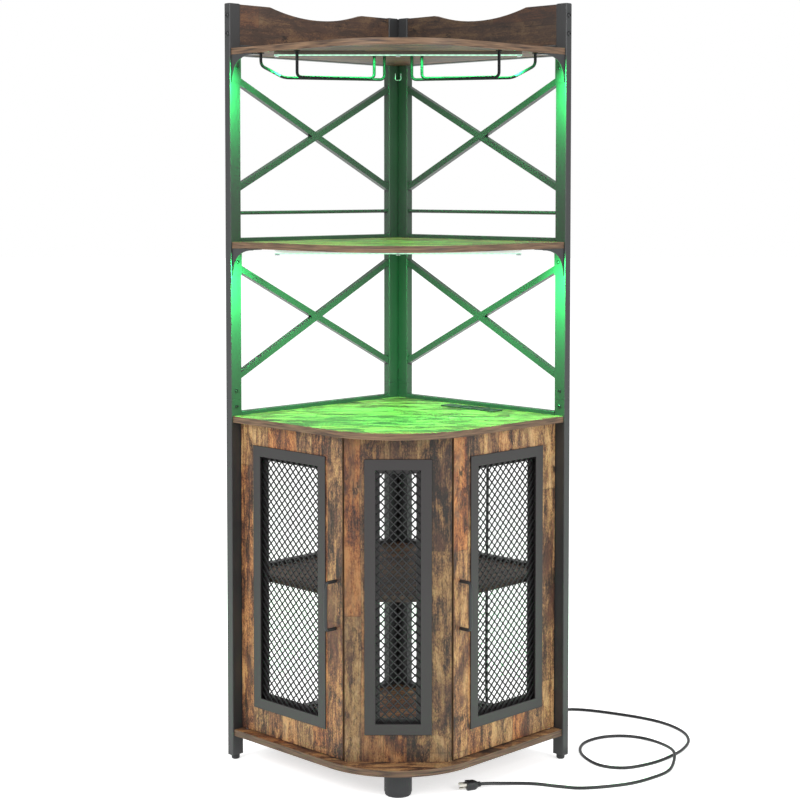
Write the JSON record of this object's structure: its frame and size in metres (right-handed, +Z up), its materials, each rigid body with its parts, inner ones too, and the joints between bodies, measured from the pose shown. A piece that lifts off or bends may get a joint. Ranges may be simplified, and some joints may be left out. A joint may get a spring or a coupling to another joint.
{
  "type": "corner hutch cabinet",
  "caption": "Tall corner bar cabinet with open shelves, crossed steel braces, two mesh doors, glass racks and a mains strip.",
  "frame": {"origin": "middle of the footprint's box at floor level", "axes": "+Z up; the doors face -Y; +X is the viewer's right; the room's corner is towards +Y"},
  "size_m": [1.1316, 0.7069, 1.8002],
  "materials": {
    "frame_steel": "matt powder coat",
    "printed_board": "printed woodgrain board",
    "mesh_steel": "satin powder coat",
    "bright_steel": "zinc plated",
    "black_plastic": "moulded",
    "lamp_diffuser": "clear silicone, lit",
    "cord_rubber": "satin"
  },
  "bodies": {
    "cabinet": {"left_front_post_lower": "frame_steel", "left_front_post_upper": "frame_steel", "left_rear_post_lower": "frame_steel", "left_rear_post_upper": "frame_steel", "left_bottom_rail": "frame_steel", "left_inner_rail": "frame_steel", "left_counter_rail": "frame_steel", "left_second_rail": "frame_steel", "left_top_rail": "frame_steel", "left_upper_brace": "frame_steel", "left_lower_brace": "frame_steel", "left_guard_rod": "frame_steel", "left_fence_board": "printed_board", "left_top_bracket": "mesh_steel", "left_second_bracket": "mesh_steel", "left_rear_foot": "black_plastic", "left_front_foot": "black_plastic", "right_front_post_lower": "frame_steel", "right_front_post_upper": "frame_steel", "right_rear_post_lower": "frame_steel", "right_rear_post_upper": "frame_steel", "right_bottom_rail": "frame_steel", "right_inner_rail": "frame_steel", "right_counter_rail": "frame_steel", "right_second_rail": "frame_steel", "right_top_rail": "frame_steel", "right_upper_brace": "frame_steel", "right_lower_brace": "frame_steel", "right_guard_rod": "frame_steel", "right_fence_board": "printed_board", "right_top_bracket": "mesh_steel", "right_second_bracket": "mesh_steel", "right_rear_foot": "black_plastic", "right_front_foot": "black_plastic", "top_shelf": "printed_board", "second_shelf": "printed_board", "counter_board": "printed_board", "inner_shelf": "printed_board", "bottom_board": "printed_board", "centre_panel": "printed_board", "centre_window": "mesh_steel", "front_leg": "black_plastic", "rear_joint_angle": "frame_steel", "left_glass_rack": "mesh_steel", "right_glass_rack": "mesh_steel", "top_lamp_strip": "lamp_diffuser", "second_lamp_strip": "lamp_diffuser", "power_strip": "black_plastic", "power_cord": "cord_rubber", "power_plug": "cord_rubber"},
    "left_door": {"left_door_panel": "printed_board", "left_door_window": "mesh_steel", "left_door_handle": "mesh_steel", "left_door_upper_pivot": "bright_steel", "left_door_lower_pivot": "bright_steel"},
    "right_door": {"right_door_panel": "printed_board", "right_door_window": "mesh_steel", "right_door_handle": "mesh_steel", "right_door_upper_pivot": "bright_steel", "right_door_lower_pivot": "bright_steel"}
  },
  "joints": [
    {"name": "left_door_hinge", "type": "hinge", "parent": "cabinet", "child": "left_door", "pos_m": [-0.35879, -0.04198, 0.4435], "axis": [0, 0, -1], "range_deg": [0, 95]},
    {"name": "right_door_hinge", "type": "hinge", "parent": "cabinet", "child": "right_door", "pos_m": [0.35879, -0.04198, 0.4435], "axis": [0, 0, 1], "range_deg": [0, 95]}
  ]
}
